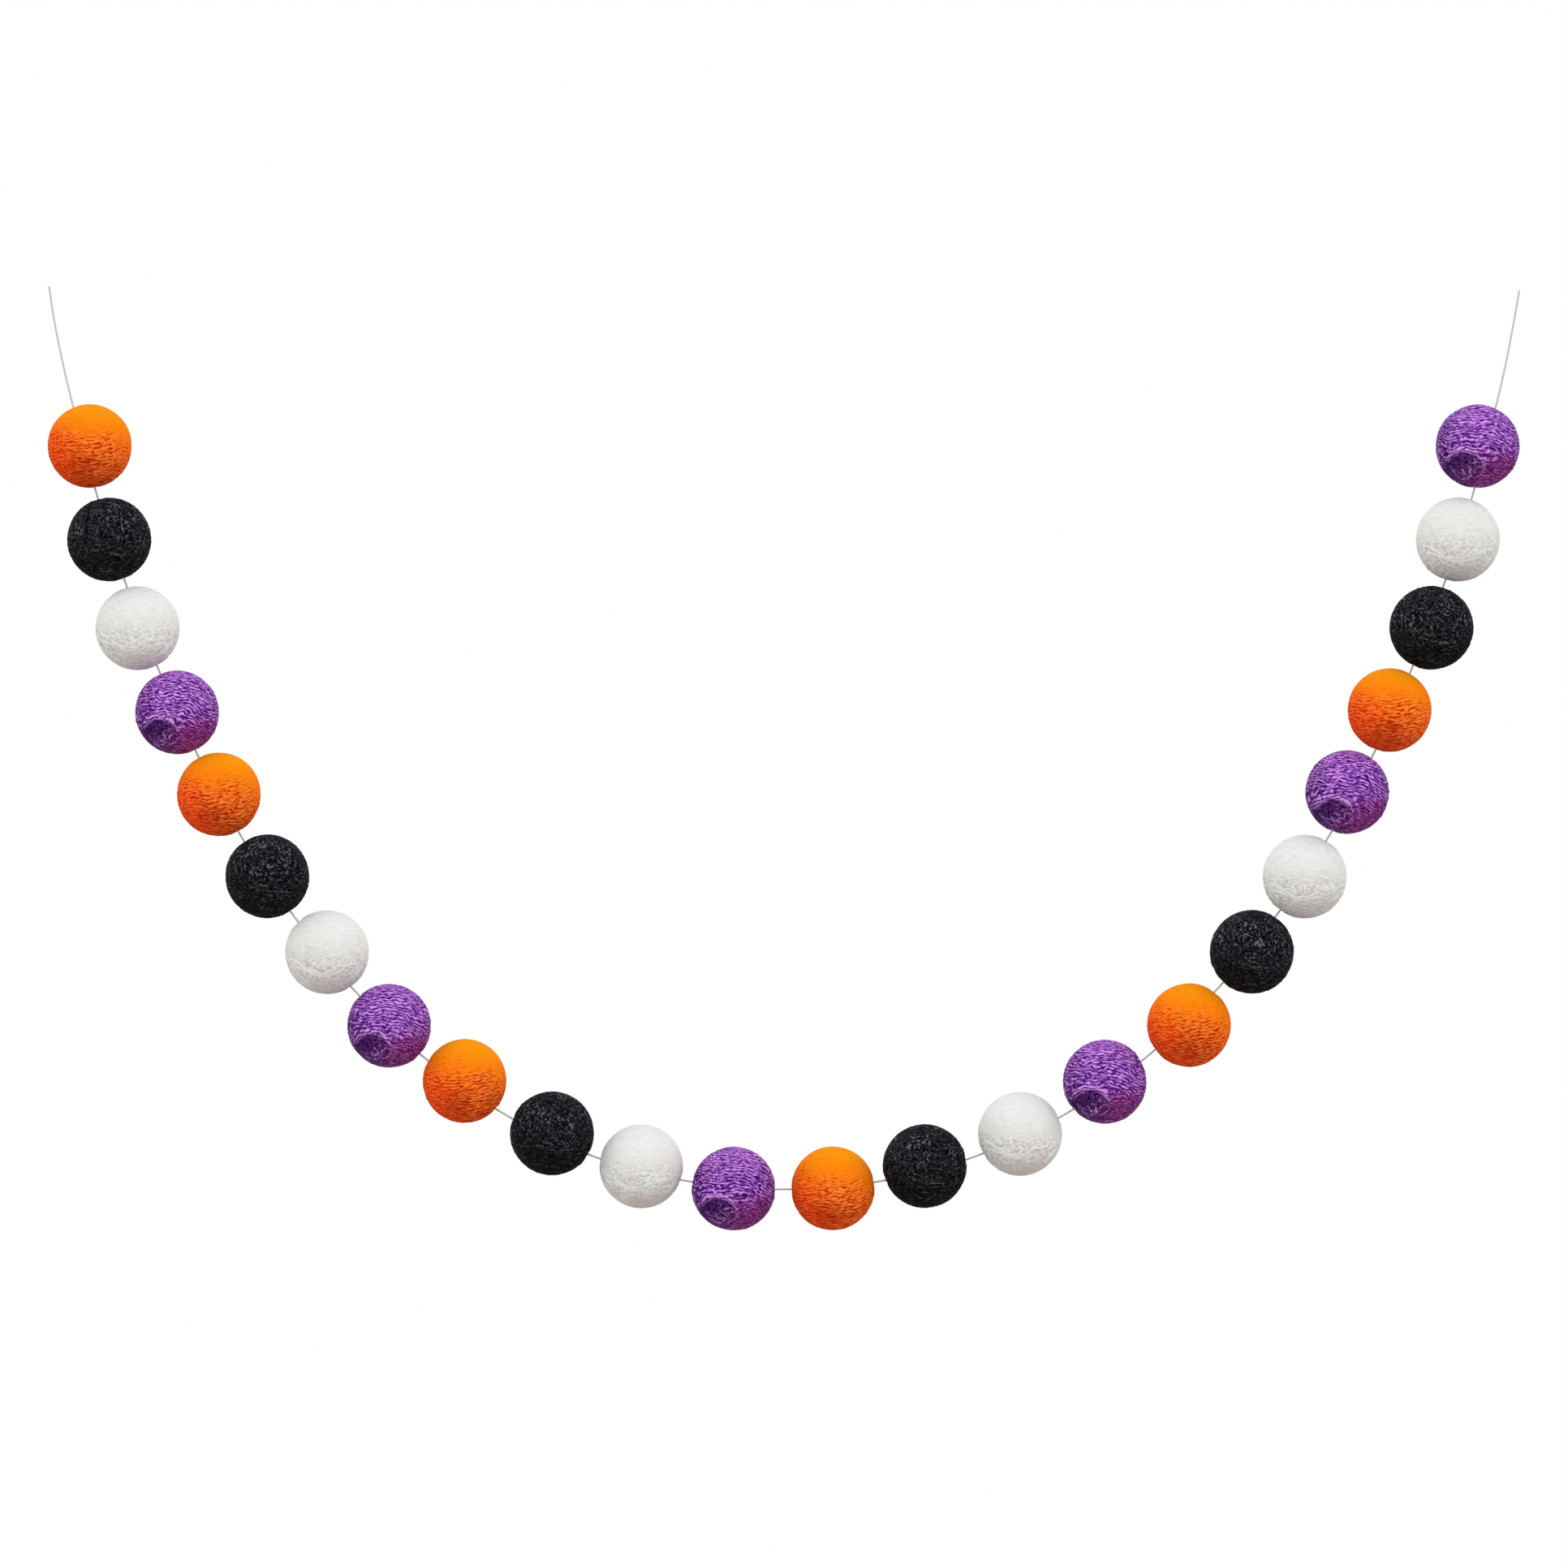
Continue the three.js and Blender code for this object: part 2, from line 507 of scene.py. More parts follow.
def purple_surface(p, seed):
    """Wavy silky ridges all round the ball. They fall away to the right, bend over the rim of the hollow
    and curl up inside it."""
    x = p[..., 0]
    level = lift_of(p) + 0.4 * ramp(x, 0.0, 0.9) * x
    reach, upward = hollow_reach(p)
    over = ramp(reach, 1.9, 1.05) * ramp(reach, 0.7, 0.9) * ramp(upward, -0.3, 0.9)
    along_rim = HOLLOW_HALF_HEIGHT * (reach - 1) - 0.13 - 0.25 * np.clip(x - HOLLOW_RIGHT, 0, 1)
    level = level * (1 - over) + over * along_rim
    phase = wavy(p, level, per_radius=PURPLE_RIDGES, waver=0.8, seed=seed + 1)
    inside = ramp(reach, 1.0, 0.7)
    looser = towards(right=0.5, down=0.6, start=0.7, end=0.95)(p)
    strength = 1 - 0.25 * looser
    lit = ramp(x - 0.6 * p[..., 2], -0.45, 0.15)
    fold = folds(p, PURPLE_FOLDS, FOLD_REACH)
    return Surface(
        phase=phase,
        ribbed=1.15 * strength * (1 - inside) * (0.85 + 0.5 * noise(p * 6.0, seed + 4)),
        grain=grain_of(p, phase, along=11.0, across=1.5 - 0.3 * inside, warp=0.6, seed=seed),
        specked=2.2 * strength * (1 - inside) * (1 - 0.5 * fold),
        curled=(0.85 + 0.35 * lit) * inside * (1 - 0.5 * fold),
        raised=-0.2 - (0.45 - 0.15 * lit) * inside + 1.4 * fold,
        wrinkled=1 - 0.5 * inside,
        glint=0.35 + 0.35 * inside * lit + 0.3 * fold,
        rise=-HOLLOW_DEPTH * ramp(reach, *HOLLOW_EDGE),
    )


# Loose strands that lie on the felt

STRAND_RINGS = 7
STRAND_SIDES = 4
STRAND_WANDER = 0.5
WANDER_CELLS = 4.0
STRAND_FLATNESS = 0.6
STRAND_LIFT = 0.3
STRAND_SINK = 0.35
STRAND_ENDS = (0.06, 0.94)
STRAND_TAPER = 0.6
HIGHEST_START = 0.96


@dataclass
class Strands:
    paths: np.ndarray  # for each strand a row of directions from the ball's centre
    width: np.ndarray  # in metres
    shine: np.ndarray  # share of the strand colour: partly the fibres' own lighter colour, partly a painted glint, most of all on the black felt


def anywhere(draw, count):
    """Directions drawn evenly over the ball, but for its very top and bottom."""
    up = draw.uniform(-HIGHEST_START, HIGHEST_START, count)
    turn = draw.uniform(0, 2 * math.pi, count)
    out = np.sqrt(1 - up**2)
    return np.stack([out * np.cos(turn), out * np.sin(turn), up], -1)


def lay(starts, headings, lengths, seed, curl=0.0):
    """Paths from the starts. A heading is the angle above due right, and curl is how far it turns in all."""
    step = lengths / (STRAND_RINGS - 1)
    at, path = starts, [starts]
    for n in range(STRAND_RINGS - 1):
        right = unit(np.cross([0, 0, 1], at))
        up = np.cross(at, right)
        wander = STRAND_WANDER * noise(at * WANDER_CELLS, seed + 8)
        angle = headings + curl * n / STRAND_RINGS + wander
        at = unit(at + (np.cos(angle) * right.T + np.sin(angle) * up.T).T * step[:, None])
        path.append(at)
    return np.stack(path, 1)


def orange_strands(draw, seed):
    starts = anywhere(draw, count=60)
    starts = starts[starts[:, 2] < 0.05]
    count = len(starts)
    headings = 0.3 * ramp(starts[:, 0], 0, 0.8) + draw.normal(0, 0.2, count)
    lengths = draw.uniform(0.12, 0.3, count)
    widths = draw.uniform(0.2, 0.3, count) * MM
    shine = draw.uniform(0.2, 0.7, count)
    return Strands(lay(starts, headings, lengths, seed), widths, shine)


def black_strands(draw, seed):
    starts = anywhere(draw, count=90)
    chance = 0.15 + 0.85 * ramp(starts[:, 2], -0.6, 0.0)
    starts = starts[draw.uniform(0, 1, len(starts)) < chance]
    count = len(starts)
    headings = draw.uniform(0, math.pi, count)
    lengths = draw.uniform(0.06, 0.14, count)
    curl = draw.normal(0, 1.0, count)
    widths = draw.uniform(0.25, 0.4, count) * MM
    shine = 0.4 * draw.uniform(0, 1, count) ** 2
    return Strands(lay(starts, headings, lengths, seed, curl), widths, shine)


def white_strands(draw, seed):
    starts = anywhere(draw, count=40)
    starts = starts[starts[:, 2] < 0.1]
    count = len(starts)
    headings = draw.choice([-0.4, 0.0, 0.4], count) + draw.normal(0, 0.2, count)
    lengths = draw.uniform(0.10, 0.22, count)
    widths = draw.uniform(0.22, 0.30, count) * MM
    shine = draw.uniform(0.0, 0.3, count)
    return Strands(lay(starts, headings, lengths, seed), widths, shine)


def purple_strands(draw, seed):
    starts = anywhere(draw, count=90)
    count = len(starts)
    tight = hollow_reach(starts)[0] < 0.9
    headings = -0.4 * ramp(starts[:, 0], 0, 0.8) + draw.normal(0, 0.2, count)
    headings = np.where(tight, draw.uniform(0, math.pi, count), headings)
    curl = np.where(tight, draw.uniform(1.0, 3.0, count), 0.0)
    lengths = np.where(tight, 0.5, 1.0) * draw.uniform(0.12, 0.34, count)
    widths = draw.uniform(0.25, 0.35, count) * MM
    shine = draw.uniform(0.0, 0.35, count)
    return Strands(lay(starts, headings, lengths, seed, curl), widths, shine)


@dataclass
class Felt:
    surface: object  # gives the Surface at each direction
    strands: object  # draws the Strands
    ringed: bool  # level rings of vertices, which suit level wrinkles, or else even triangles
    depth: float  # of the relief, in metres
    colours: list  # from the bottom of the ball to its top, each with its place from 0 to 1; darker towards the bottom as painted shade
    tinted: object  # how strongly the tint shows at each direction
    tint: tuple
    # The crevice colour is painted shade in crevices, and the ridge colour is painted light on ridges. The
    # strand colour is both the loose strands' own colour and a painted glint on raised places.
    crevice: tuple
    ridge: tuple
    strand_and_glint: tuple
    fine: float  # how strongly the finest wrinkles are painted with the crevice's shade and the ridge's light
    roughness: float
    gloss: float
    painted_light_lean: float = 0.0  # how far the top of the colours leans to the right: painted light, lighter colours on the right
    painted_shade_at: object = nowhere  # how strongly the hollow colour, which is painted shade, shows at each direction
    hollow: tuple = BLACK


FELTS = {
    "orange": Felt(
        surface=orange_surface,
        strands=orange_strands,
        ringed=True,
        depth=0.09 * MM,
        colours=[
            (0.0, srgb(214, 58, 16)),
            (0.3, srgb(238, 86, 14)),
            (0.5, srgb(252, 112, 12)),
            (0.75, srgb(248, 130, 8)),
            (0.95, srgb(250, 152, 6)),
        ],
        # Painted light: the right side takes the lighter colours of the top.
        painted_light_lean=0.12,
        # Painted shade: redder and darker towards the lower left, away from the light.
        tinted=towards(right=-0.8, down=0.5, start=0.3, end=1.0, most=0.6),
        tint=srgb(238, 56, 10),
        # Painted shade: darker low in the middle of the front, though the orange felt has no hollow.
        painted_shade_at=towards(right=-0.1, down=0.55, start=0.88, end=1.0, most=0.35),
        hollow=srgb(150, 20, 4),
        crevice=srgb(176, 30, 0),
        ridge=srgb(255, 140, 62),
        strand_and_glint=srgb(255, 146, 76),
        fine=0.5,
        roughness=0.9,
        gloss=0.03,
    ),
    "black": Felt(
        surface=black_surface,
        strands=black_strands,
        ringed=False,
        depth=0.10 * MM,
        colours=[
            (0.0, srgb(21, 21, 20)),
            (0.4, srgb(21, 21, 22)),
            (0.9, srgb(27, 26, 32)),
        ],
        tinted=towards(right=-0.5, down=0.6, start=0.6, end=1.0, most=0.4),
        tint=srgb(18, 19, 16),
        crevice=srgb(1, 1, 2),
        ridge=srgb(50, 49, 56),
        strand_and_glint=srgb(150, 149, 158),
        fine=0.4,
        roughness=0.75,
        gloss=0.02,
    ),
    "white": Felt(
        surface=white_surface,
        strands=white_strands,
        ringed=False,
        depth=0.09 * MM,
        colours=[
            (0.0, srgb(222, 214, 210)),
            (0.4, srgb(224, 223, 218)),
            (0.8, srgb(230, 230, 229)),
        ],
        # Painted shade and painted reflected light: greyer towards the bottom, and pinker as from light
        # thrown back by something pink beside it.
        tinted=towards(right=0.2, down=0.85, start=0.75, end=1.0, most=0.7),
        tint=srgb(212, 198, 196),
        crevice=srgb(192, 188, 178),
        ridge=srgb(246, 246, 244),
        strand_and_glint=srgb(248, 247, 245),
        fine=0.4,
        roughness=0.9,
        gloss=0.1,
    ),
    "purple": Felt(
        surface=purple_surface,
        strands=purple_strands,
        ringed=False,
        depth=0.08 * MM,
        colours=[
            (0.0, srgb(116, 48, 116)),
            (0.3, srgb(116, 46, 140)),
            (0.5, srgb(122, 50, 158)),
            (0.9, srgb(148, 80, 186)),
        ],
        tinted=towards(right=0.45, down=0.75, start=0.65, end=0.95, most=0.55),
        tint=srgb(130, 0, 84),
        # Painted shade: the hollow's shadow under its rim, and darker low down and at both sides.
        painted_shade_at=purple_painted_shade,
        hollow=srgb(26, 0, 40),
        crevice=srgb(54, 4, 98),
        ridge=srgb(228, 156, 255),
        strand_and_glint=srgb(246, 186, 255),
        fine=0.5,
        roughness=0.65,
        gloss=0.03,
    ),
}

# Materials

# The finest wrinkles and fibres, in cells per metre, or per ridge
FINE_PER_RIDGE = 2.2
FINE_ALONG = 9 / BALL_RADIUS
FIBRE_SCALE = 40 / BALL_RADIUS
STRING_FIBRE_SCALE = 5200

# Relief at which the colour of a crevice or ridge is full, and how full that of a ridge is there
FULL_RELIEF = 0.95
RIDGE_COLOUR = 0.8

# Relief above which the felt glints
GLINT_FROM = 0.4

# Ranges of the finest noise over which it darkens as painted shade, and over which it pales as painted light
FINE_DARK = (0.48, 0.30)
FINE_PALE = (0.52, 0.70)

# Relief above which a tint or shade fades, and the share of it that reaches the top of a ridge
SHADE_FADES_FROM = -0.4
RIDGE_SHADE = 0.65

STRING_COLOURS = [(0.0, srgb(178, 178, 184)), (1.0, srgb(212, 212, 217))]


class Graph:
    """A new material. Most of its calls add a node and return its output."""

    def __init__(self, name, roughness, gloss):
        self.material = bpy.data.materials.new(name)
        self.material.use_nodes = True
        self.nodes = self.material.node_tree.nodes
        self.links = self.material.node_tree.links
        self.shader = self.nodes["Principled BSDF"]
        self.shader.inputs["Roughness"].default_value = roughness
        self.shader.inputs["Specular IOR Level"].default_value = gloss

    def feed(self, socket, value):
        """Set a socket to a number or colour, or link a node's output to it."""
        if isinstance(value, (int, float, tuple)):
            socket.default_value = value
        else:
            self.links.new(value, socket)

    def paint(self, colour):
        self.feed(self.shader.inputs["Base Color"], colour)

    def place(self):
        return self.nodes.new("ShaderNodeTexCoord").outputs["Object"]

    def attribute(self, label, output="Fac"):
        node = self.nodes.new("ShaderNodeAttribute")
        node.attribute_name = label
        return node.outputs[output]

    def mix(self, factor, first, second):
        node = self.nodes.new("ShaderNodeMix")
        node.data_type = "RGBA"
        self.feed(node.inputs["Factor"], factor)
        for name, value in (("A_Color", first), ("B_Color", second)):
            self.feed(next(i for i in node.inputs if i.identifier == name), value)
        return next(o for o in node.outputs if o.identifier == "Result_Color")

    def span(self, value, low, high, to_low=0.0, to_high=1.0):
        """A value from low to high as one from to_low to to_high."""
        node = self.nodes.new("ShaderNodeMapRange")
        names = ("Value", "From Min", "From Max", "To Min", "To Max")
        for name, setting in zip(names, (value, low, high, to_low, to_high)):
            self.feed(node.inputs[name], setting)
        return node.outputs["Result"]

    def reckon(self, operation, *values):
        node = self.nodes.new("ShaderNodeMath")
        node.operation = operation
        for socket, value in zip(node.inputs, values):
            self.feed(socket, value)
        return node.outputs["Value"]

    def times(self, first, second):
        return self.reckon("MULTIPLY", first, second)

    def plus(self, first, second):
        return self.reckon("ADD", first, second)

    def noise_at(self, vector, scale, detail):
        node = self.nodes.new("ShaderNodeTexNoise")
        node.inputs["Scale"].default_value = scale
        node.inputs["Detail"].default_value = detail
        self.feed(node.inputs["Vector"], vector)
        return node.outputs["Fac"]

    def blend_of(self, value, colours):
        """The colour at a value, between colours with their places from 0 to 1."""
        node = self.nodes.new("ShaderNodeValToRGB")
        stops = node.color_ramp.elements
        while len(stops) < len(colours):
            stops.new(0.5)
        for stop, (place, colour) in zip(stops, colours):
            stop.position = place
            stop.color = colour
        self.feed(node.inputs["Fac"], value)
        return node.outputs["Color"]

    def bump(self, height, strength, distance, before=None):
        node = self.nodes.new("ShaderNodeBump")
        node.inputs["Strength"].default_value = strength
        node.inputs["Distance"].default_value = distance
        self.feed(node.inputs["Height"], height)
        if before:
            self.feed(node.inputs["Normal"], before)
        return node.outputs["Normal"]


def relief_nodes(graph, phase):
    """The relief, as relief_of works it out for the mesh."""
    noisy = graph.noise_at(graph.attribute("grain", "Vector"), 1.0, 0)
    specks = graph.span(noisy, 0.0, 1.0, -1.0, 1.0)
    curls = graph.span(graph.reckon("ABSOLUTE", specks), 0.0, CURL_REACH, 1.0, -1.0)
    ribs = graph.reckon("SINE", graph.times(phase, 2 * math.pi))
    ribbed = graph.times(graph.attribute("ribbed"), ribs)
    specked = graph.times(graph.attribute("specked"), specks)
    curled = graph.times(graph.attribute("curled"), curls)
    folded = graph.plus(curled, graph.attribute("raised"))
    return graph.reckon("TANH", graph.plus(graph.plus(ribbed, specked), folded))


def fine_nodes(graph, place, phase):
    """The finest wrinkles: noise over the place along the ridges and the phase across them."""
    parts = graph.nodes.new("ShaderNodeSeparateXYZ")
    drawn_out = graph.nodes.new("ShaderNodeCombineXYZ")
    graph.feed(parts.inputs["Vector"], place)
    graph.feed(drawn_out.inputs["X"], graph.times(parts.outputs["X"], FINE_ALONG))
    graph.feed(drawn_out.inputs["Y"], graph.times(parts.outputs["Y"], FINE_ALONG))
    graph.feed(drawn_out.inputs["Z"], graph.times(phase, FINE_PER_RIDGE))
    return graph.noise_at(drawn_out.outputs["Vector"], 1.0, 2)


def felt_colour(graph, felt, relief, fine, wrinkled):
    """The felt's colour: a ramp by height, darker towards the bottom as painted shade; dark in crevices as
    painted shade and pale on ridges as painted light; painted glints; then the tint and the painted shade of
    the hollow colour.
    """
    colour = graph.blend_of(graph.span(graph.attribute("height"), -1, 1), felt.colours)
    colour = graph.mix(graph.span(relief, 0.0, -FULL_RELIEF), colour, felt.crevice)
    colour = graph.mix(graph.span(relief, 0.0, FULL_RELIEF, 0.0, RIDGE_COLOUR), colour, felt.ridge)
    glint = graph.times(graph.span(relief, GLINT_FROM, 1.0), graph.attribute("glint"))
    colour = graph.mix(glint, colour, felt.strand_and_glint)
    low = graph.times(graph.span(fine, *FINE_DARK, 0.0, felt.fine), wrinkled)
    high = graph.times(graph.span(fine, *FINE_PALE, 0.0, felt.fine), wrinkled)
    colour = graph.mix(low, colour, felt.crevice)
    colour = graph.mix(high, colour, felt.ridge)
    colour = graph.mix(graph.attribute("shine"), colour, felt.strand_and_glint)
    under = graph.span(relief, SHADE_FADES_FROM, 1.0, 1.0, RIDGE_SHADE)
    colour = graph.mix(graph.times(graph.attribute("tint"), under), colour, felt.tint)
    return graph.mix(graph.times(graph.attribute("hollow"), under), colour, felt.hollow)


def felt_material(name, felt):
    graph = Graph(f"felt_{name}", felt.roughness, felt.gloss)
    place = graph.place()
    phase = graph.attribute("phase")
    wrinkled = graph.attribute("wrinkled")
    relief = relief_nodes(graph, phase)
    fine = fine_nodes(graph, place, phase)
    fibres = graph.noise_at(place, FIBRE_SCALE, 3)
    graph.paint(felt_colour(graph, felt, relief, fine, wrinkled))
    normal = graph.bump(relief, strength=0.6, distance=0.05 * MM)
    normal = graph.bump(graph.times(fine, wrinkled), strength=0.7, distance=0.15 * MM, before=normal)
    normal = graph.bump(fibres, strength=0.5, distance=0.06 * MM, before=normal)
    graph.feed(graph.shader.inputs["Normal"], normal)
    return graph.material


def string_material():
    graph = Graph("string", roughness=0.7, gloss=0.3)
    fibres = graph.noise_at(graph.place(), STRING_FIBRE_SCALE, 2)
    graph.paint(graph.blend_of(fibres, STRING_COLOURS))
    return graph.material


# The string


def string_line():
    route = np.array([(across * MM, 0, up * MM) for across, up in STRING_ROUTE_MM])
    smooth = through(route, STRING_SPAN_POINTS)
    length = np.linalg.norm(np.diff(smooth, axis=0), axis=1).sum()
    return evenly(smooth, int(length / STRING_RING_STEP) + 1)


def twisted_rings(line, along):
    """Rings round a line, with a lobe for each ply, that turn along the string."""
    ahead = unit(np.gradient(line, axis=0))
    back = np.array([0.0, 1.0, 0.0])
    aside = unit(np.cross(ahead, back))
    turn = 2 * math.pi * along / STRING_TWIST_PITCH
    around = 2 * math.pi * np.arange(STRING_SIDES) / STRING_SIDES
    lobe = 1 - PLY_GROOVE * (1 - np.abs(np.cos(STRING_PLIES * (around[None] - turn[:, None]) / 2)))
    radius = STRING_DIAMETER / 2 * lobe
    return (
        line[:, None]
        + (radius * np.cos(around))[..., None] * aside[:, None]
        + (radius * np.sin(around))[..., None] * back
    )


def make_string(line, centres, material):
    """Plies twisted round each other, with fewer rings where a ball hides them."""
    along = np.arange(len(line)) * STRING_RING_STEP
    from_balls = np.linalg.norm(line[:, None] - centres, axis=-1).min(axis=1)
    shown = from_balls > BALL_RADIUS - 2 * DIMPLE_DEPTH
    kept = shown | (np.arange(len(line)) % HIDDEN_RING_EVERY == 0)
    line, along = line[kept], along[kept]
    rings = twisted_rings(line, along)
    vertices = np.vstack([line[:1], rings.reshape(-1, 3), line[-1:]])
    piece = mesh_piece("twisted_string", vertices, tube_faces(len(line), STRING_SIDES), material)
    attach(piece, "root")
    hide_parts("string")


# The balls and their strands


def ringed_sphere():
    """Directions and faces of a sphere of level rings, fine across level wrinkles."""
    down = math.pi * np.arange(1, BALL_RINGS) / BALL_RINGS
    around = 2 * math.pi * np.arange(BALL_SPOKES) / BALL_SPOKES
    x = np.sin(down)[:, None] * np.cos(around)
    y = np.sin(down)[:, None] * np.sin(around)
    z = np.repeat(np.cos(down)[:, None], BALL_SPOKES, 1)
    rings = np.stack([x, y, z], axis=-1).reshape(-1, 3)
    return np.vstack([[[0, 0, 1]], rings, [[0, 0, -1]]]), tube_faces(BALL_RINGS - 1, BALL_SPOKES)


def split_triangle():
    """The points of a split-up triangle as shares of its three corners, and its small triangles."""
    places = [(i, j) for i in range(BALL_SPLITS + 1) for j in range(BALL_SPLITS + 1 - i)]
    index = {place: n for n, place in enumerate(places)}
    shares = np.array([(BALL_SPLITS - i - j, i, j) for i, j in places]) / BALL_SPLITS
    small = [(index[i, j], index[i + 1, j], index[i, j + 1]) for i, j in places if i + j < BALL_SPLITS]
    small += [
        (index[i + 1, j], index[i + 1, j + 1], index[i, j + 1])
        for i, j in places
        if i + j < BALL_SPLITS - 1
    ]
    return shares, np.array(small)


def geodesic_sphere():
    """Directions and faces of a sphere of even triangles, from an icosahedron whose faces are split up."""
    icosahedron = bmesh.new()
    bmesh.ops.create_icosphere(icosahedron, subdivisions=1, radius=1)
    corners = np.array([[v.co[:] for v in face.verts] for face in icosahedron.faces])
    icosahedron.free()
    shares, small = split_triangle()
    points = unit(np.einsum("rc,fcx->frx", shares, corners)).reshape(-1, 3)
    faces = (np.arange(len(corners))[:, None, None] * len(shares) + small).reshape(-1, 3)
    _, first, same = np.unique(np.round(points, 6), axis=0, return_index=True, return_inverse=True)
    return points[first], same.reshape(-1)[faces].tolist()


def string_holes(centre, line):
    """Directions from a ball's centre to the two places where the string goes in and comes out."""
    away = line - centre
    inside = np.flatnonzero(np.linalg.norm(away, axis=1) < BALL_RADIUS)
    return unit(away[[inside[0], inside[-1]]])


def felt_surface(p, felt, seed, holes):
    """Distance from the centre at each direction, and the surface there."""
    surface = felt.surface(p, seed)
    radius = BALL_RADIUS + felt.depth * relief_of(surface) + surface.rise
    radius = radius + LUMP_DEPTH * noise(p * LUMPS_PER_RADIUS, seed + 9)
    for hole in holes:
        off = np.linalg.norm(p - hole, axis=-1) * BALL_RADIUS
        radius = radius - DIMPLE_DEPTH * np.exp(-((off / DIMPLE_RADIUS) ** 2))
    return radius, surface


def strand_mesh(strands, out):
    """Vertices and faces of flat tubes laid along the strands' paths, that far from the ball's centre, and
    the number of vertices of one."""
    paths = strands.paths
    count, rings = paths.shape[:2]
    swell = np.sin(math.pi * np.linspace(*STRAND_ENDS, rings)) ** STRAND_TAPER
    half = strands.width[:, None] / 2 * swell
    middle = paths * (out + (swell - STRAND_SINK) * strands.width[:, None] * STRAND_LIFT)[..., None]
    ahead = unit(np.gradient(middle, axis=1))
    aside = unit(np.cross(ahead, paths))
    around = 2 * math.pi * np.arange(STRAND_SIDES) / STRAND_SIDES
    ring = (
        middle[:, :, None]
        + (half[..., None] * np.cos(around))[..., None] * aside[:, :, None]
        + (STRAND_FLATNESS * half[..., None] * np.sin(around))[..., None] * paths[:, :, None]
    )
    body = ring.reshape(count, rings * STRAND_SIDES, 3)
    first = middle[:, :1] - ahead[:, :1] * half[:, :1, None]
    last = middle[:, -1:] + ahead[:, -1:] * half[:, -1:, None]
    vertices = np.concatenate([first, body, last], axis=1)
    size = vertices.shape[1]
    one = tube_faces(rings, STRAND_SIDES)
    faces = [tuple(corner + n * size for corner in face) for n in range(count) for face in one]
    return vertices.reshape(-1, 3), faces, size


def make_ball(node, centre, line, spheres, materials):
    _, number, colour = node.split("_")
    number = int(number)
    felt = FELTS[colour]
    seed = SEEDS_PER_BALL * number
    holes = string_holes(centre, line)
    p, faces = spheres[felt.ringed]
    radius, surface = felt_surface(p, felt, seed, holes)
    strands = felt.strands(np.random.default_rng(number), seed)
    under, _ = felt_surface(strands.paths, felt, seed, holes)
    points, more, size = strand_mesh(strands, under)
    around = np.vstack([p * radius[:, None], points])
    faces = faces + [tuple(corner + len(p) for corner in face) for face in more]
    outward = unit(around)
    plain = np.zeros(len(points))
    attributes = {label: np.concatenate([getattr(surface, label), plain]) for label in CARRIED}
    attributes |= {
        "grain": np.vstack([surface.grain, points]),
        "shine": np.concatenate([np.zeros(len(p)), np.repeat(strands.shine, size)]),
        # The height carries the colour ramp, darker towards the bottom as painted shade and leaning right as
        # painted light; the hollow carries painted shade.
        "height": outward[:, 2] + felt.painted_light_lean * outward[:, 0],
        "tint": felt.tinted(outward),
        "hollow": felt.painted_shade_at(outward),
    }
    piece = mesh_piece(f"felt_ball_{number:02d}", centre + around, faces, materials[colour], attributes)
    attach(piece, "root")
    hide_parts(node)


# Light and floor


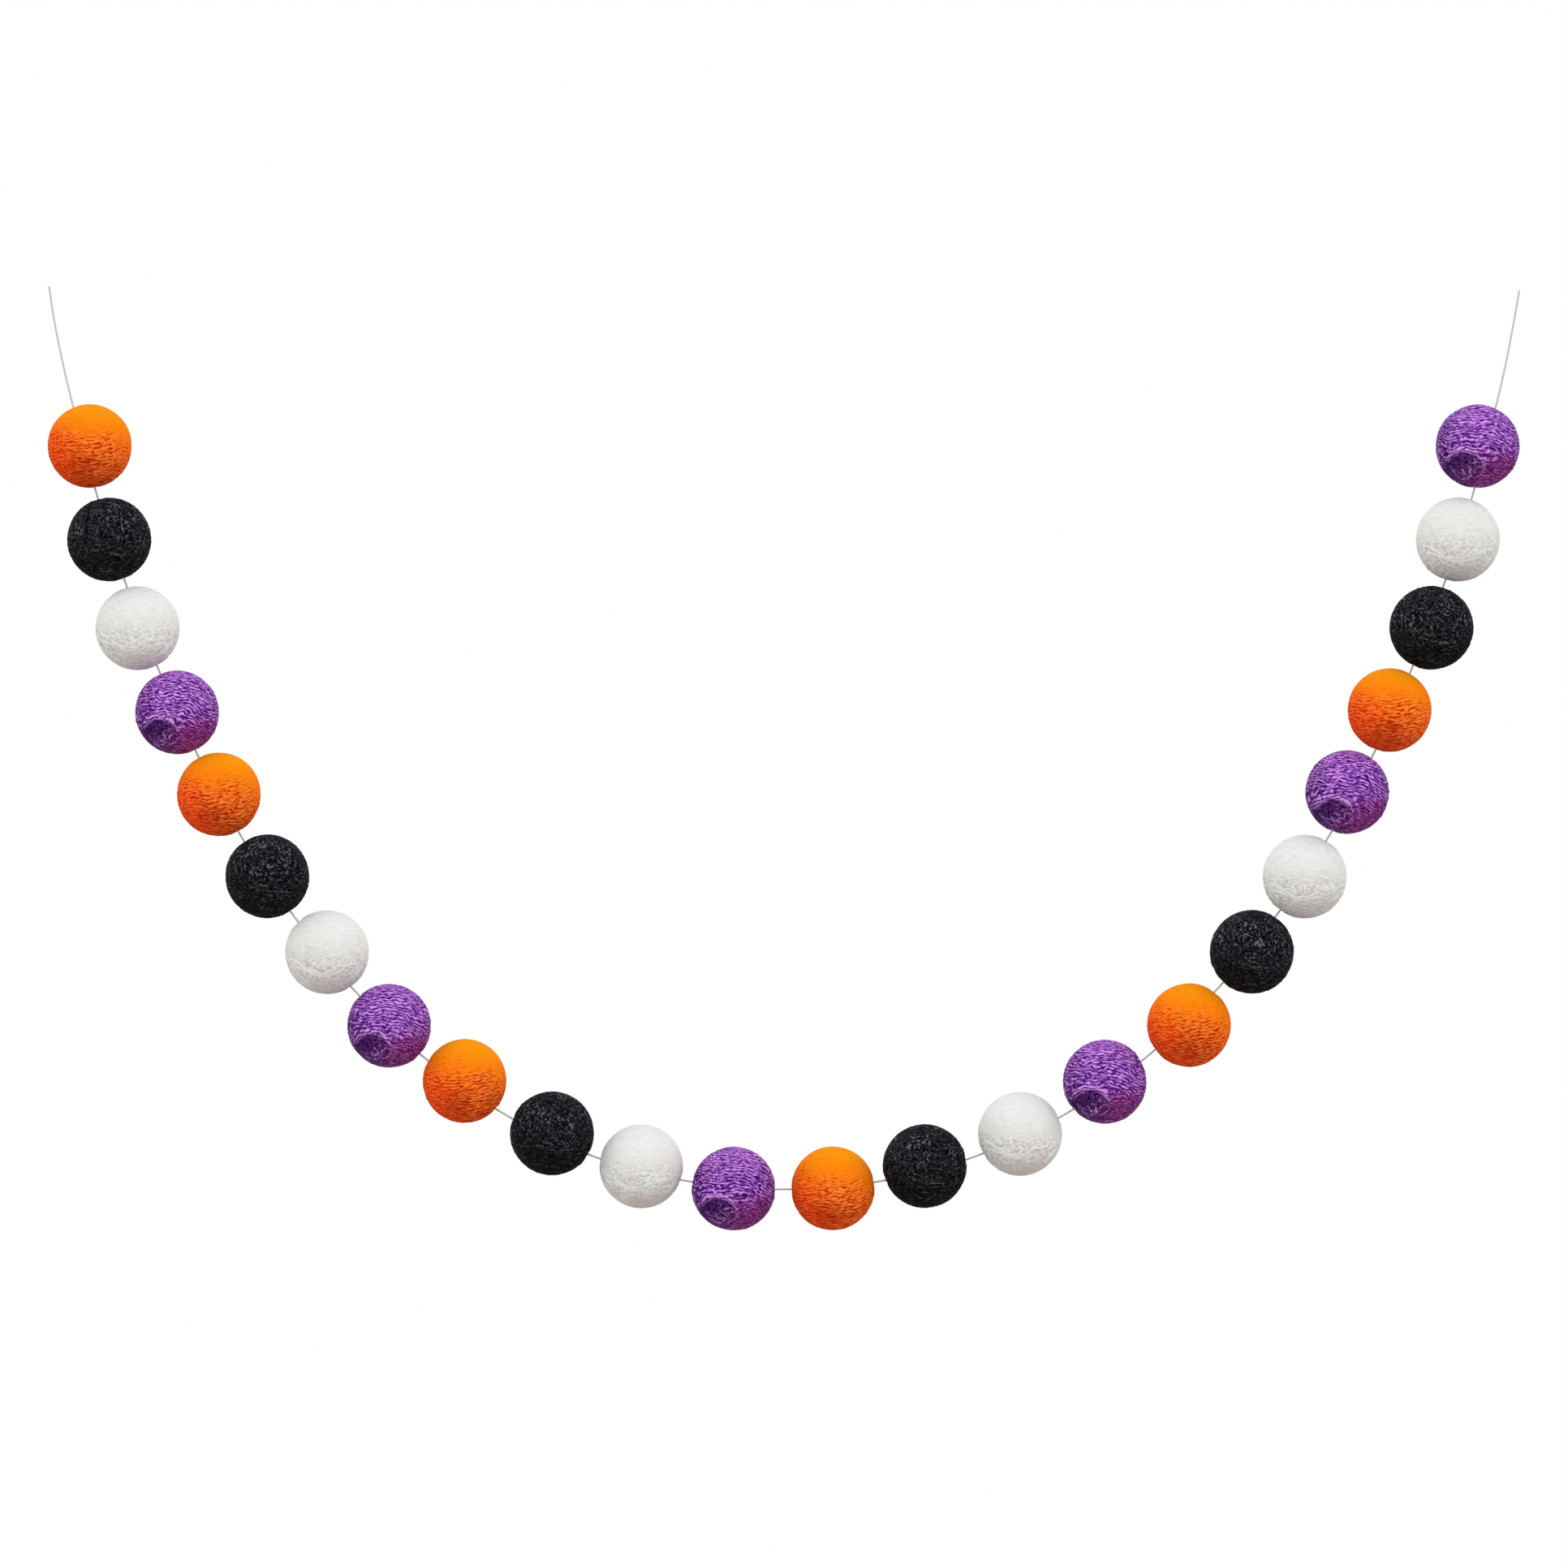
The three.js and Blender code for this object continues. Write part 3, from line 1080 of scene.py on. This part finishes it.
def make_world():
    """White where the camera sees it, and otherwise a glow that fades from the horizon to the zenith."""
    world = bpy.data.worlds.new("studio")
    bpy.context.scene.world = world
    world.use_nodes = True
    nodes = world.node_tree.nodes
    links = world.node_tree.links
    glow = nodes["Background"]
    glow.inputs["Color"].default_value = WHITE
    parts = nodes.new("ShaderNodeSeparateXYZ")
    links.new(nodes.new("ShaderNodeTexCoord").outputs["Generated"], parts.inputs["Vector"])
    fade = nodes.new("ShaderNodeMapRange")
    fade.inputs["From Min"].default_value = FADE_START
    fade.inputs["From Max"].default_value = FADE_END
    fade.inputs["To Min"].default_value = HORIZON_GLOW
    fade.inputs["To Max"].default_value = ZENITH_GLOW
    links.new(parts.outputs["Z"], fade.inputs["Value"])
    links.new(fade.outputs["Result"], glow.inputs["Strength"])
    backdrop = nodes.new("ShaderNodeBackground")
    backdrop.inputs["Color"].default_value = WHITE
    ray = nodes.new("ShaderNodeLightPath")
    choose = nodes.new("ShaderNodeMixShader")
    links.new(ray.outputs["Is Camera Ray"], choose.inputs["Fac"])
    links.new(glow.outputs["Background"], choose.inputs[1])
    links.new(backdrop.outputs["Background"], choose.inputs[2])
    links.new(choose.outputs["Shader"], nodes["World Output"].inputs["Surface"])


def make_key_light():
    data = bpy.data.lights.new("key", "SUN")
    data.energy = KEY_ENERGY
    data.angle = KEY_SPREAD
    key = bpy.data.objects.new("key", data)
    to_key = Vector((
        math.sin(KEY_SIDE) * math.cos(KEY_ELEVATION),
        -math.cos(KEY_SIDE) * math.cos(KEY_ELEVATION),
        math.sin(KEY_ELEVATION),
    ))
    key.rotation_mode = "QUATERNION"
    key.rotation_quaternion = to_key.to_track_quat("Z", "Y")
    bpy.context.scene.collection.objects.link(key)


def make_floor():
    graph = Graph("floor", roughness=0.9, gloss=0.5)
    graph.paint(FLOOR_COLOUR)
    bpy.ops.mesh.primitive_circle_add(vertices=FLOOR_SIDES, radius=FLOOR_RADIUS, fill_type="NGON")
    floor = bpy.context.object
    floor.name = "floor"
    floor.location = FRAME_CENTRE + Vector((0, 0, -FLOOR_DROP))
    floor.data.materials.append(graph.material)


def middle_of(node):
    return np.array(sum(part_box(node), Vector()) / 2)


make_camera()
balls = {node: middle_of(node) for node in sorted(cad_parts) if node != "string"}
line = string_line()
make_string(line, np.array(list(balls.values())), string_material())
felt_materials = {name: felt_material(name, felt) for name, felt in FELTS.items()}
spheres = {True: ringed_sphere(), False: geodesic_sphere()}
for node, centre in balls.items():
    make_ball(node, centre, line, spheres, felt_materials)
make_world()
make_key_light()
make_floor()
bpy.context.scene.view_settings.view_transform = "Standard"
